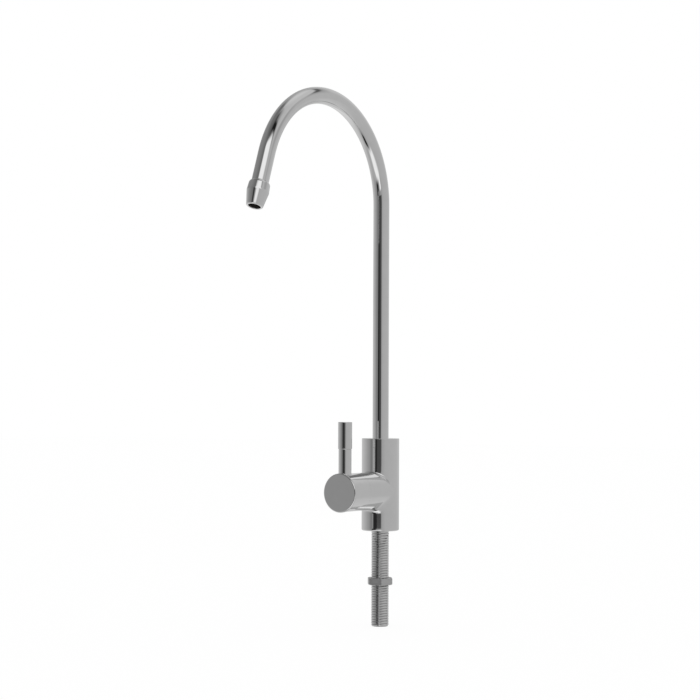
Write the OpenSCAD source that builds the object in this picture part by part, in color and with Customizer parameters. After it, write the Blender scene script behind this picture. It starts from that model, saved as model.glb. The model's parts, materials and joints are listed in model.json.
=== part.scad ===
// Deck-mounted drinking-water tap: swivel gooseneck spout, quarter-turn ceramic valve, lever handle.
// Millimetres. The origin is the centre of the body's underside, on the worktop, and +Z is up.
// The spout and the handle point to -Y. Lengths along the handle's arm are measured from the body's axis.

/* [Spout tube] */
// Outside diameter of the spout tube
tube_d = 10.2; // [8:0.1:12]
// Wall of the spout tube
tube_wall = 1; // [0.6:0.1:1.5]
// Straight riser above the body
riser_h = 148.3; // [90:0.1:220]
// Radius of the arch at the tube's centre line
arch_r = 61.8; // [45:0.1:90]
// Angle that the arch turns through
arch_angle = 160.7; // [120:0.1:178]
// Straight tail between the arch and the nozzle
tail_l = 18.9; // [12:0.1:40]

/* [Nozzle] */
// Length of the nozzle
nozzle_l = 15.6; // [13:0.1:22]
// Diameter of the nozzle's upper edge
nozzle_top_d = 12.6; // [12:0.1:15]
// Diameter of the nozzle at its shoulder
nozzle_d = 13.3; // [13:0.1:17]
// Distance of the shoulder from the upper edge
nozzle_shoulder = 6.2; // [4:0.1:8]
// Diameter of the nozzle at its tip
nozzle_tip_d = 9.9; // [9.6:0.1:12]
// Radius of the rounded rim at the tip
nozzle_rim = 0.7; // [0.4:0.05:0.9]
// Diameter of the mouth
mouth_d = 7.3; // [5:0.1:7.6]
// Depth of the socket that takes the tube
nozzle_socket = 8; // [6:0.1:9]
// Width of the bevel on the nozzle's upper edge
nozzle_bevel = 1; // [0.5:0.1:1.5]

/* [Body] */
// Diameter of the upright body
body_d = 23.8; // [21:0.1:30]
// Height of the upright body
body_h = 58.4; // [56:0.1:75]
// Height of the handle's axis above the worktop
arm_z = 25.4; // [24.5:0.1:28]
// How much smaller the arm's radius is than the body's
arm_step = 0.1; // [0.1:0.05:0.6]
// Radius of the rounded corner between the arm and the body
arm_fillet = 2.8; // [0.8:0.1:3]
// Wall of the arm around the cartridge nut
arm_wall = 2; // [1.5:0.1:2.5]
// Wall behind the valve chamber
rear_wall = 3.6; // [2.5:0.1:5]
// Rounding of the body's lower edge
base_round = 1; // [0.5:0.1:1.5]
// Diameter of the water passages in the body
passage_d = 4; // [3:0.1:4.6]

/* [Handle] */
// From the body's axis to the handle's front face
reach = 45.2; // [43:0.1:60]
// Length of the turning hub
hub_l = 15.8; // [14:0.1:18]
// Seam between the arm and the hub
hub_seam = 0.3; // [0.2:0.05:0.6]
// Thickness of the end cap's plate
cap_t = 1.2; // [0.8:0.1:2]
// How far the cap's plate stands out around the hub
cap_lip = 0.3; // [0.1:0.01:0.6]
// From the handle's front face to the lever's axis
lever_inset = 5.9; // [5.5:0.1:8]
// From the handle's axis to the lever's top
lever_l = 43.7; // [36:0.1:70]
// Length of the lever's grip
grip_l = 16.7; // [13:0.1:20]
// Diameter of the lever's rod
rod_d = 8; // [6:0.1:9]
// Diameter of the lever's grip
grip_d = 8.7; // [7:0.1:12]
// Diameter of the rod's threaded ends
rod_stud_d = 4; // [3:0.1:5]
// Bevel on the lever's edges
lever_bevel = 0.3; // [0.1:0.05:0.5]

/* [Shank and lock nut] */
// Outside diameter of the shank's thread
shank_d = 11.1; // [10:0.1:12.7]
// Length of the shank below the body
shank_l = 60.6; // [50:0.1:90]
// Length of the shank that is screwed into the body
shank_in = 10; // [7:0.1:11]
// Diameter of the shank's water bore
shank_bore_d = 5; // [4:0.1:5.8]
// Diameter of the inlet socket for the supply tube
inlet_d = 6.5; // [6:0.1:8]
// Depth of the inlet socket
inlet_l = 12; // [8:0.1:20]
// Bevel at the shank's ends
shank_bevel = 0.6; // [0.4:0.1:1]
// Pitch of the shank's thread
thread_pitch = 1.5875; // [1.2:0.0125:2]
// Depth of the shank's thread
thread_depth = 0.35; // [0.2:0.05:0.5]
// Width of the lock nut across its flats
nut_af = 14.8; // [14:0.1:19]
// Height of the lock nut
nut_h = 4.3; // [3:0.1:8]
// From the body's underside to the lock nut
nut_drop = 30; // [10:0.1:40]
// Turn of the lock nut about the shank
nut_turn = 10; // [0:0.1:60]

/* [Spout swivel] */
// Wall of the ferrule on the tube's lower end
ferrule_wall = 2.35; // [2.2:0.05:3]
// Floor of the ferrule under the tube
ferrule_floor = 2; // [1:0.1:3]
// Height of the swivel bush in the body's top
bush_h = 6; // [4:0.1:7]
// Thickness of the slip washer
slip_t = 0.8; // [0.5:0.1:1.2]
// Width of the ledge that carries the ferrule
ledge_w = 1.5; // [1:0.1:2]
// Height of the water space under the ferrule
plenum_h = 2; // [1:0.1:3]
// Thickness of body metal between the valve bore and the spout socket
socket_web = 2.5; // [1.5:0.1:3.5]
// Section of the sealing O-rings
ring_d = 1.3; // [1:0.05:1.4]
// Distance between a pair of O-rings
ring_pitch = 3.6; // [3:0.1:4.5]
// Edge of a sealed part before its first O-ring
ring_first = 2.6; // [2.2:0.1:3.2]

/* [Ceramic cartridge] */
// Step between the cartridge nut's bore and the housing's bore
flange_step = 0.8; // [0.5:0.05:1.2]
// Thickness of the housing's flange
flange_t = 2; // [1.2:0.1:3]
// Length of the cartridge housing
housing_l = 21; // [20:0.1:23]
// Wall of the cartridge housing
housing_wall = 1.4; // [1.1:0.1:1.8]
// Length of the inlet chamber behind the seat
chamber_l = 6.5; // [5.5:0.1:7]
// Thickness of the rubber seat seal
seat_t = 1.2; // [0.8:0.1:1.5]
// Thickness of each ceramic disc
disc_t = 2.1; // [1.6:0.1:2.3]
// Angle of each port in the ceramic discs
port_angle = 78; // [50:1:84]
// Width of the sealing land around a port
port_land = 1.2; // [0.8:0.1:1.5]
// Radius of the solid centre of the discs
disc_hub_r = 1.8; // [1.2:0.1:2.2]
// Width of the drive key between the spindle and the moving disc
key_w = 3; // [2:0.1:4]
// Depth of the drive key
key_h = 0.9; // [0.5:0.1:1.1]
// Thickness of the spindle's drive head
head_t = 4; // [3:0.1:4.4]
// Diameter of the spindle
spindle_d = 8; // [7:0.1:9]
// Thickness of the friction washer
friction_t = 0.6; // [0.4:0.1:0.8]
// Width of the outlet windows in the housing
window_w = 8; // [5:0.1:9]
// Length of the outlet windows along the housing
window_l = 5; // [3.5:0.1:5.5]
// Width of the cartridge nut across its flats
gland_af = 15; // [13:0.1:16]
// Height of the cartridge nut's hexagon
gland_hex_h = 4; // [3:0.1:5]
// Teeth of the spindle's spline
spline_teeth = 20; // [12:1:24]
// Depth of the spline's teeth
spline_tooth = 0.35; // [0.2:0.05:0.5]
// Thickness of the circlip
circlip_t = 0.8; // [0.5:0.1:1]
// Diameter of the handle screw
screw_d = 4; // [3:0.1:4.5]
// Length of the handle screw under its head
screw_l = 8; // [5:0.1:9]
// Diameter of the handle screw's head
screw_head_d = 7; // [5.5:0.1:8]
// Height of the handle screw's head
screw_head_h = 1.8; // [1.2:0.1:2]

/* [Clearances] */
// Gap around pieces that are pressed, soldered or screwed together
fit = 0.05; // [0.02:0.01:0.1]
// Running gap around pieces that turn
run = 0.1; // [0.05:0.01:0.15]
// Gap around the lock nut's thread
thread_gap = 0.1; // [0.05:0.01:0.2]
// Gap around larger turning pieces that must not touch
free = 0.5; // [0.3:0.05:0.8]

/* [Hidden] */
$fn = 96;

// Overshoot of a cut past a face
over = 1;

// Body and arm
body_r = body_d / 2;
arm_r = body_r - arm_step;
hub_front = reach - cap_t;
arm_end = hub_front - hub_l - hub_seam;

// Rounded corner between the arm and the body: its sections, the steps of their arcs, the depth of its root,
// the turn at which it runs out, and the angle at which an arc leaves the metal
fillet_turns = 24;
fillet_steps = 5;
fillet_root = 0.7;
fillet_side = 69;
fillet_edge = 11.5;

// Bores of the arm, from its mouth inwards
gland_bore_r = arm_r - arm_wall;
housing_bore_r = gland_bore_r - flange_step;
housing_r = housing_bore_r - fit;
cavity_r = housing_r - housing_wall;
disc_r = cavity_r - run;
port_r = disc_r - port_land;
chamber_r = port_r - free;

// Places along the arm
chamber_floor = -(body_r - rear_wall);
seat = chamber_floor + chamber_l;
fixed_at = seat + seat_t;
moving_at = fixed_at + disc_t + fit;
head_at = moving_at + disc_t;
friction_at = head_at + head_t + fit;
front_wall_at = friction_at + friction_t + fit;
flange_end = seat + housing_l;
flange_at = flange_end - flange_t;
gland_hex_at = arm_end - free;
hub_web_at = gland_hex_at + gland_hex_h + 2 * free;
window_at = moving_at + free / 2;

// Water passages in the body
passage_r = passage_d / 2;
seat_margin = 0.35;
inlet_passage_at = seat - seat_margin - passage_r;
outlet_passage_at = window_at + passage_r - free;

// Shank, its socket and the space above its seal
shank_r = shank_d / 2;
shank_seal_t = 1;
shank_seal_land = 1.6;
shank_plenum_h = 2;
inlet_r = inlet_d / 2;
inlet_lead = 0.6;

// Winding of the shank's thread: its sides to a turn, the part of a pitch that each flank takes, the plain end
// below it, the turns over which it grows, and its steps. A plain collar under the body closes it, and its neck
// reaches into the collar.
thread_sides = 16;
thread_flank = 0.275;
thread_lead = 0.4;
thread_run = 0.6;
thread_collar = 0.4;
thread_root_r = shank_r - thread_depth;
foot_r = shank_r - shank_bevel;
neck_r = thread_root_r - 0.3;
neck_z = shank_l - thread_collar + 1;
thread_steps = floor((shank_l - 2 * thread_collar - thread_lead) / thread_pitch * thread_sides) - thread_sides;

// Spout socket and what turns in it
tube_r = tube_d / 2;
bore_r = tube_r - tube_wall;
ferrule_r = tube_r + ferrule_wall;
socket_r = ferrule_r + run;
plenum_r = socket_r - ledge_w;
socket_floor = arm_z + housing_bore_r + socket_web;
ledge_z = socket_floor + plenum_h;
ferrule_at = ledge_z + run;
bush_at = body_h - bush_h;
slip_at = bush_at - run - slip_t;
ferrule_l = slip_at - ferrule_at;
tube_at = ferrule_at + ferrule_floor;
riser_top = body_h + riser_h;
tube_in_nozzle = tail_l + nozzle_socket;
bush_bevel = 0.4;

// The straight runs of the tube overlap the arch by this much, inside a skin of this thickness
weld = 0.2;
bend_skin = 0.02;

// O-rings stand in grooves that are a little wider than their section
groove_w = ring_d + 2 * run;
seal_gap = run / 2;
base_ring_r = (shank_r + body_r) / 2;
base_ring_d = 1.6;
housing_ring_at = flange_at - ring_first;

// The spout's O-rings move closer together in a short ferrule
spout_ring_first = min(ring_first, 0.28 * ferrule_l);
spout_ring_pitch = min(ring_pitch, 0.43 * ferrule_l);

// Spindle, its spline and its circlip
spindle_r = spindle_d / 2;
head_r = port_r - free;
spline_r = spindle_r - free;
spindle_end = hub_front - screw_head_h - free - 2 * free - screw_head_h;
circlip_at = flange_end + run;
circlip_groove = 0.5;
circlip_r = spindle_r + 0.9;
circlip_gap = 50;

// Hub, its screw and cap
hub_r = arm_r;
hub_cavity_r = gland_bore_r + free / 2;
screw_r = screw_d / 2;
screw_head_r = screw_head_d / 2;
screw_face = hub_front - screw_head_h - free / 2;
cap_ring_wall = 1.2;
cap_ring_r = screw_head_r + free / 2 + cap_ring_wall;
cap_recess_r = cap_ring_r + fit;
cap_bevel = 0.2;

// Lever
lever_at = reach - lever_inset;
rod_r = rod_d / 2;
grip_r = grip_d / 2;
stud_r = rod_stud_d / 2;
rod_sink = 0.3;
rod_seat_z = arm_z + sqrt(pow(hub_r, 2) - pow(rod_r + fit, 2)) - rod_sink;
stud_low_z = arm_z + cap_recess_r + 2 * free;
grip_z = arm_z + lever_l - grip_l;
grip_stud_l = 9;

// Lock nut
nut_corner_r = nut_af / 2 / cos(30);
nut_face_r = nut_af / 2 + 0.3;

// Turns a child's +Z outwards along the arm, at a distance from the body's axis
module along_arm(at) {
    translate([0, -at, arm_z])
        rotate([90, 0, 0])
            children();
}

// Puts a child's origin on the spout's tail, its +Z along the flow
module along_tail(at) {
    translate([0, -arch_r, riser_top])
        rotate([90, 0, 90])
            rotate([0, 0, arch_angle])
                translate([arch_r, 0, 0])
                    rotate([-90, 0, 0])
                        translate([0, 0, at])
                            children();
}

// A round ring between two radii
module ring(outer, inner, h) {
    difference() {
        cylinder(r = outer, h = h);
        translate([0, 0, -over])
            cylinder(r = inner, h = h + 2 * over);
    }
}

// An O-ring of a given section around the Z axis
module o_ring(mean_r, section) {
    rotate_extrude()
        translate([mean_r, 0])
            circle(d = section);
}

// A straight bar with bevelled ends
module bevelled_bar(r, h, low_bevel, high_bevel) {
    rotate_extrude()
        polygon([
            [0, 0], [r - low_bevel, 0], [r, low_bevel],
            [r, h - high_bevel], [r - high_bevel, h], [0, h]
        ]);
}

// A sector of a disc between two radii
module sector(outer, inner, angle, h) {
    rotate([0, 0, -angle / 2])
        rotate_extrude(angle = angle)
            translate([inner, 0])
                square([outer - inner, h]);
}

// The teeth of the spindle's spline, as a flat outline
module spline_outline(gap) {
    polygon([
        for (i = [0 : 2 * spline_teeth - 1])
            let (r = spline_r + gap - (i % 2) * spline_tooth, a = 180 * i / spline_teeth)
                r * [cos(a), sin(a)]
    ]);
}

// The spout's path as a solid: the straight runs have radius r, and reach a little way into the arch
module spout_path(r, bend_r, low_z, tail) {
    translate([0, 0, low_z])
        cylinder(r = r, h = riser_top + weld - low_z);
    translate([0, -arch_r, riser_top])
        rotate([90, 0, 90])
            rotate_extrude(angle = arch_angle)
                translate([arch_r, 0])
                    circle(r = bend_r);
    along_tail(-weld)
        cylinder(r = r, h = tail + weld);
}

// Section of the rounded corner at a turn about the arm: an arc from near the arm to near the body, then a
// root inside both. A ball that touches the arm and the body has its centre there.
function fillet_section(turn) =
    let (
        ball_arm = arm_r + arm_fillet,
        ball_body = body_r + arm_fillet,
        side = ball_arm * sin(turn),
        high = ball_arm * cos(turn),
        out = sqrt(pow(ball_body, 2) - pow(side, 2)),
        centre = [side, high, out],
        to_arm = -[side, high, 0] / ball_arm,
        to_body = -[side, 0, out] / ball_body,
        spread = acos(to_arm * to_body),
        deep = arm_fillet + fillet_root
    )
    concat(
        [
            for (i = [0 : fillet_steps])
                let (a = fillet_edge + (spread - 2 * fillet_edge) * i / fillet_steps)
                    centre + arm_fillet * (sin(spread - a) * to_arm + sin(a) * to_body) / sin(spread)
        ],
        [centre + deep * to_body, centre + deep * (to_arm + to_body), centre + deep * to_arm]
    );

// The rounded corner over the arm, from one side to the other, where it runs out
module arm_corner() {
    per = fillet_steps + 4;
    last = fillet_turns * per;
    points = [
        for (i = [0 : fillet_turns])
            each fillet_section(fillet_side * (2 * i / fillet_turns - 1))
    ];
    strips = [
        for (i = [0 : fillet_turns - 1])
            for (j = [0 : per - 1])
                let (k = (j + 1) % per, a = i * per, b = a + per)
                    each [[a + j, a + k, b + k], [a + j, b + k, b + j]]
    ];
    ends = [
        for (j = [1 : per - 2])
            each [[0, j + 1, j], [last, last + j, last + j + 1]]
    ];
    polyhedron(points, concat(strips, ends));
}

// Upright body with its lower edge rounded, and the arm
module body_blank() {
    rotate_extrude() {
        square([body_r - base_round, body_h]);
        translate([0, base_round])
            square([body_r, body_h - base_round]);
        translate([body_r - base_round, base_round])
            circle(r = base_round);
    }
    along_arm(0)
        cylinder(r = arm_r, h = arm_end);
    for (turn = [0, 180])
        along_arm(0)
            rotate([0, 0, turn])
                arm_corner();
}

// Everything that is bored out of the body
module body_bores() {
    shank_top = shank_in + shank_seal_t;
    translate([0, 0, -over])
        cylinder(r = shank_r + fit, h = shank_top + over);
    cylinder(r = shank_r - shank_seal_land, h = shank_top + shank_plenum_h);
    translate([0, -inlet_passage_at, shank_top])
        cylinder(r = passage_r, h = arm_z - shank_top);
    along_arm(chamber_floor)
        cylinder(r = chamber_r, h = chamber_l + over);
    along_arm(seat)
        cylinder(r = housing_bore_r, h = arm_end - seat + over);
    along_arm(flange_at - run)
        cylinder(r = gland_bore_r, h = arm_end - flange_at + over);
    translate([0, -outlet_passage_at, arm_z])
        cylinder(r = passage_r, h = socket_floor - arm_z + over);
    translate([0, 0, socket_floor])
        cylinder(r = plenum_r, h = body_h - socket_floor);
    translate([0, 0, ledge_z])
        cylinder(r = socket_r, h = body_h - ledge_z + over);
    translate([0, 0, -over])
        ring(base_ring_r + base_ring_d / 2 + run, base_ring_r - base_ring_d / 2 - run,
            base_ring_d + run + over);
}

module valve_body() {
    color("silver")
        difference() {
            body_blank();
            body_bores();
        }
}

module base_seal() {
    color("dimgray")
        translate([0, 0, base_ring_d / 2 + run / 2])
            o_ring(base_ring_r, base_ring_d);
}

// A point of the thread's winding: step is the place along it, share the part of a pitch above the root
function thread_point(step, share, r) =
    let (a = 360 * step / thread_sides)
        [r * cos(a), r * sin(a), thread_lead + thread_pitch * (step / thread_sides + share)];

// The crest's radius at a step; it rises from the root at the start and sinks back to it at the end
function crest_r(step) =
    let (grow = min(step, thread_steps - step) / thread_sides)
        thread_root_r + thread_depth * max(0.15, min(1, grow / thread_run));

// The shank's right-handed thread as one closed skin. The roots come first, one turn longer than the rest, so
// that each root is also the upper edge of the turn below it, then both edges of the crest, then the end rings.
module thread_skin() {
    s = thread_sides;
    n = thread_steps;
    low = n + s + 1;
    high = low + n + 1;
    foot = high + n + 1;
    neck = foot + s;
    points = concat(
        [for (i = [0 : n + s]) thread_point(i, 0, thread_root_r)],
        [for (i = [0 : n]) thread_point(i, thread_flank, crest_r(i))],
        [for (i = [0 : n]) thread_point(i, 1 - thread_flank, crest_r(i))],
        [for (j = [0 : s - 1]) let (a = 360 * j / s) [foot_r * cos(a), foot_r * sin(a), 0]],
        [for (j = [0 : s - 1]) let (a = 360 * (n + j) / s) [neck_r * cos(a), neck_r * sin(a), neck_z]]
    );
    winding = [
        for (i = [0 : n - 1])
            each [
                [i, low + i, low + i + 1], [i, low + i + 1, i + 1],
                [low + i, high + i, high + i + 1], [low + i, high + i + 1, low + i + 1],
                [high + i, i + s, i + s + 1], [high + i, i + s + 1, high + i + 1]
            ]
    ];
    lower = [
        for (j = [0 : s - 2])
            each [[foot + j, j, j + 1], [foot + j, j + 1, foot + j + 1]]
    ];
    upper = [
        for (j = [1 : s - 1])
            let (k = neck + (j + 1) % s)
                each [[n + j, neck + j, k], [n + j, k, n + j + 1]]
    ];
    start = [
        [foot + s - 1, s - 1, s], [foot + s - 1, s, 0], [foot + s - 1, 0, foot],
        [0, s, high], [0, high, low]
    ];
    finish = [
        [n, n + s, n + 1], [n + s, neck, neck + 1], [n + s, neck + 1, n + 1],
        [n, low + n, high + n], [n, high + n, n + s]
    ];
    caps = [[for (j = [0 : s - 1]) foot + j], [for (j = [0 : s - 1]) neck + s - 1 - j]];
    polyhedron(points, concat(winding, lower, upper, start, finish, caps));
}

module threaded_shank() {
    color("darkgray")
        translate([0, 0, -shank_l])
            difference() {
                union() {
                    thread_skin();
                    translate([0, 0, shank_l - thread_collar])
                        bevelled_bar(shank_r, shank_in + thread_collar, thread_depth, shank_bevel);
                }
                translate([0, 0, -over])
                    cylinder(d = shank_bore_d, h = shank_l + shank_in + 2 * over);
                translate([0, 0, -over])
                    cylinder(r = inlet_r, h = inlet_l + over);
                cylinder(r1 = inlet_r + inlet_lead, r2 = inlet_r, h = inlet_lead);
            }
}

module shank_seal() {
    color("dimgray")
        translate([0, 0, shank_in])
            ring(shank_r - fit, shank_bore_d / 2 + free, shank_seal_t);
}

module swivel_bush() {
    color("silver")
        translate([0, 0, bush_at])
            difference() {
                bevelled_bar(socket_r - fit, bush_h, bush_bevel, bush_bevel);
                translate([0, 0, -over])
                    cylinder(r = tube_r + run, h = bush_h + 2 * over);
            }
}

module spout_tube() {
    color("silver")
        difference() {
            spout_path(tube_r, tube_r + bend_skin, tube_at, tube_in_nozzle);
            spout_path(bore_r, bore_r - bend_skin, tube_at - over, tube_in_nozzle + over);
        }
}

module spout_ferrule() {
    color("goldenrod")
        translate([0, 0, ferrule_at])
            difference() {
                cylinder(r = ferrule_r, h = ferrule_l);
                translate([0, 0, ferrule_floor])
                    cylinder(r = tube_r + fit, h = ferrule_l);
                translate([0, 0, -over])
                    cylinder(r = bore_r, h = ferrule_floor + 2 * over);
                for (i = [0, 1])
                    translate([0, 0, spout_ring_first + i * spout_ring_pitch - groove_w / 2])
                        ring(socket_r + over, socket_r - 2 * seal_gap - ring_d, groove_w);
            }
}

module spout_o_rings() {
    color("dimgray")
        for (i = [0, 1])
            translate([0, 0, ferrule_at + spout_ring_first + i * spout_ring_pitch])
                o_ring(socket_r - seal_gap - ring_d / 2, ring_d);
}

module slip_washer() {
    color("white")
        translate([0, 0, slip_at])
            ring(ferrule_r, tube_r + fit, slip_t);
}

// Half section of the nozzle, from its upper edge down to the rounded rim
module nozzle_section() {
    rim_r = nozzle_tip_d / 2 - nozzle_rim;
    difference() {
        union() {
            polygon([
                [mouth_d / 2, 0], [nozzle_top_d / 2 - nozzle_bevel, 0],
                [nozzle_top_d / 2, nozzle_bevel], [nozzle_d / 2, nozzle_shoulder],
                [nozzle_tip_d / 2, nozzle_l - nozzle_rim], [rim_r, nozzle_l - nozzle_rim],
                [rim_r, nozzle_l], [mouth_d / 2, nozzle_l]
            ]);
            translate([rim_r, nozzle_l - nozzle_rim])
                circle(r = nozzle_rim);
        }
        translate([0, -over])
            square([tube_r + fit, nozzle_socket + over]);
    }
}

module outlet_nozzle() {
    color("silver")
        along_tail(tail_l)
            rotate_extrude()
                nozzle_section();
}

module cartridge_housing() {
    color("goldenrod")
        difference() {
            union() {
                along_arm(seat + fit)
                    cylinder(r = housing_r, h = housing_l - fit);
                along_arm(flange_at)
                    cylinder(r = gland_bore_r - fit, h = flange_t);
            }
            along_arm(seat - over)
                cylinder(r = cavity_r, h = front_wall_at - seat + over);
            along_arm(seat)
                cylinder(r = spindle_r + run, h = housing_l + over);
            along_arm(housing_ring_at - groove_w / 2)
                ring(housing_r + over, housing_bore_r - 2 * seal_gap - ring_d, groove_w);
            along_arm(window_at)
                translate([-window_w / 2, -housing_r - over, 0])
                    cube([window_w, 2 * housing_r + 2 * over, window_l]);
            along_arm(seat - over)
                translate([-housing_r + housing_wall / 3, -key_w / 2, 0])
                    cube([2 * housing_r - 2 * housing_wall / 3, key_w, seat_t + disc_t + over]);
        }
}

module seat_seal() {
    color("dimgray")
        along_arm(seat)
            ring(disc_r, port_r, seat_t);
}

// Ported ceramic disc, its ports at the sides, keyed against turning
module fixed_disc() {
    key_reach = housing_r - housing_wall / 3 - run;
    color("ivory")
        along_arm(fixed_at)
            difference() {
                union() {
                    cylinder(r = disc_r, h = disc_t);
                    translate([-key_reach, -key_w / 2 + run, 0])
                        cube([2 * key_reach, key_w - 2 * run, disc_t - run]);
                }
                for (turn = [0, 180])
                    rotate([0, 0, turn])
                        translate([0, 0, -over])
                            sector(port_r, disc_hub_r, port_angle, disc_t + 2 * over);
            }
}

// Ported ceramic disc that the spindle turns, shut when its ports stand at the top and the bottom
module moving_disc() {
    color("ivory")
        along_arm(moving_at)
            difference() {
                cylinder(r = disc_r, h = disc_t);
                for (turn = [90, 270])
                    rotate([0, 0, turn])
                        translate([0, 0, -over])
                            sector(disc_r + over, disc_hub_r, port_angle, disc_t + 2 * over);
                translate([-disc_r - over, -key_w / 2, disc_t - key_h])
                    cube([2 * disc_r + 2 * over, key_w, key_h + over]);
            }
}

module valve_spindle() {
    neck_at = head_at + head_t - over;
    color("goldenrod")
        difference() {
            union() {
                along_arm(head_at)
                    cylinder(r = head_r, h = head_t);
                along_arm(head_at - key_h + fit)
                    intersection() {
                        translate([-head_r, -key_w / 2 + fit, 0])
                            cube([2 * head_r, key_w - 2 * fit, key_h]);
                        cylinder(r = head_r, h = key_h);
                    }
                along_arm(neck_at)
                    cylinder(r = spindle_r, h = hub_web_at - free - neck_at);
                along_arm(neck_at)
                    linear_extrude(spindle_end - neck_at)
                        spline_outline(0);
            }
            for (i = [0, 1])
                along_arm(front_wall_at + ring_first + i * ring_pitch - groove_w / 2)
                    ring(spindle_r + over, spindle_r + run - 2 * seal_gap - ring_d, groove_w);
            along_arm(circlip_at - fit)
                ring(spindle_r + over, spindle_r - circlip_groove, circlip_t + 2 * fit);
            along_arm(spindle_end - screw_l)
                cylinder(r = screw_r + fit, h = screw_l + over);
        }
}

module friction_washer() {
    color("white")
        along_arm(friction_at)
            ring(head_r, spindle_r + fit, friction_t);
}

module spindle_o_rings() {
    color("dimgray")
        for (i = [0, 1])
            along_arm(front_wall_at + ring_first + i * ring_pitch)
                o_ring(spindle_r + run - seal_gap - ring_d / 2, ring_d);
}

module spindle_circlip() {
    inner = spindle_r - circlip_groove + fit;
    color("gray")
        along_arm(circlip_at)
            rotate([0, 0, 180])
                sector(circlip_r, inner, 360 - circlip_gap, circlip_t);
}

module housing_o_ring() {
    color("dimgray")
        along_arm(housing_ring_at)
            o_ring(housing_bore_r - seal_gap - ring_d / 2, ring_d);
}

module cartridge_nut() {
    color("goldenrod")
        difference() {
            union() {
                along_arm(flange_end)
                    cylinder(r = gland_bore_r - fit, h = gland_hex_at - flange_end);
                along_arm(gland_hex_at - over)
                    cylinder(r = gland_af / 2 / cos(30), h = gland_hex_h + over, $fn = 6);
            }
            along_arm(flange_end - over)
                cylinder(r = spindle_r + free, h = arm_end + gland_hex_h);
            along_arm(flange_end - over)
                cylinder(r = circlip_r + free, h = circlip_t + free + over);
        }
}

module handle_hub() {
    color("silver")
        difference() {
            along_arm(arm_end + hub_seam)
                cylinder(r = hub_r, h = hub_l);
            along_arm(arm_end)
                cylinder(r = hub_cavity_r, h = hub_web_at - arm_end);
            along_arm(hub_web_at - over)
                linear_extrude(spindle_end + fit - hub_web_at + over)
                    spline_outline(fit);
            along_arm(hub_web_at)
                cylinder(r = screw_r + run, h = hub_l);
            along_arm(screw_face)
                cylinder(r = cap_recess_r, h = hub_l);
            translate([0, -lever_at, rod_seat_z])
                cylinder(r = rod_r + fit, h = hub_r);
            translate([0, -lever_at, stud_low_z - fit])
                cylinder(r = stud_r + fit, h = hub_r);
        }
}

module hub_cap() {
    color("silver") {
        along_arm(hub_front)
            bevelled_bar(hub_r + cap_lip, cap_t, cap_bevel, cap_bevel);
        along_arm(screw_face + fit)
            ring(cap_ring_r, cap_ring_r - cap_ring_wall, hub_front - screw_face - fit);
    }
}

module handle_screw() {
    color("gray") {
        along_arm(screw_face)
            bevelled_bar(screw_head_r, screw_head_h, 0, lever_bevel);
        along_arm(spindle_end - screw_l + free)
            cylinder(r = screw_r, h = screw_face - spindle_end + screw_l - free);
    }
}

module lever_rod() {
    color("silver")
        translate([0, -lever_at, 0]) {
            translate([0, 0, rod_seat_z])
                bevelled_bar(rod_r, grip_z - rod_seat_z, 0, lever_bevel);
            translate([0, 0, stud_low_z])
                cylinder(r = stud_r, h = grip_z + grip_stud_l - stud_low_z);
        }
}

module lever_grip() {
    color("silver")
        translate([0, -lever_at, grip_z])
            difference() {
                bevelled_bar(grip_r, grip_l, lever_bevel, lever_bevel);
                translate([0, 0, -over])
                    cylinder(r = stud_r + fit, h = grip_stud_l + fit + over);
            }
}

// Hexagon with both faces chamfered at the corners
module lock_nut() {
    corner_h = (nut_corner_r - nut_face_r) * tan(30);
    color("silver")
        translate([0, 0, -nut_drop - nut_h])
            rotate([0, 0, nut_turn])
                difference() {
                    intersection() {
                        cylinder(r = nut_corner_r, h = nut_h, $fn = 6);
                        rotate_extrude()
                            polygon([
                                [0, 0], [nut_face_r, 0], [nut_corner_r, corner_h],
                                [nut_corner_r, nut_h - corner_h], [nut_face_r, nut_h], [0, nut_h]
                            ]);
                    }
                    translate([0, 0, -over])
                        cylinder(r = shank_r + thread_gap, h = nut_h + 2 * over);
                }
}

valve_body();
base_seal();
threaded_shank();
shank_seal();
swivel_bush();
spout_tube();
spout_ferrule();
spout_o_rings();
slip_washer();
outlet_nozzle();
cartridge_housing();
seat_seal();
fixed_disc();
moving_disc();
valve_spindle();
friction_washer();
spindle_o_rings();
spindle_circlip();
housing_o_ring();
cartridge_nut();
handle_hub();
hub_cap();
handle_screw();
lever_rod();
lever_grip();
lock_nut();
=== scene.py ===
# %% [markdown]
# # A chrome drinking tap with a swivel gooseneck
#
# The object is a small tap for filtered water. It stands on a worktop, its threaded shank goes down
# through a hole, and a hexagonal lock nut clamps it from below. The spout swivels, and a lever on the side
# arm opens the valve by a quarter turn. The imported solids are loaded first. They fix the sizes and the
# moving bodies, so the pieces modelled here are drawn over them and only improve shape and finish.

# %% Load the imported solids
import json
import math

import bmesh
import bpy
from mathutils import Matrix, Vector


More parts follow.
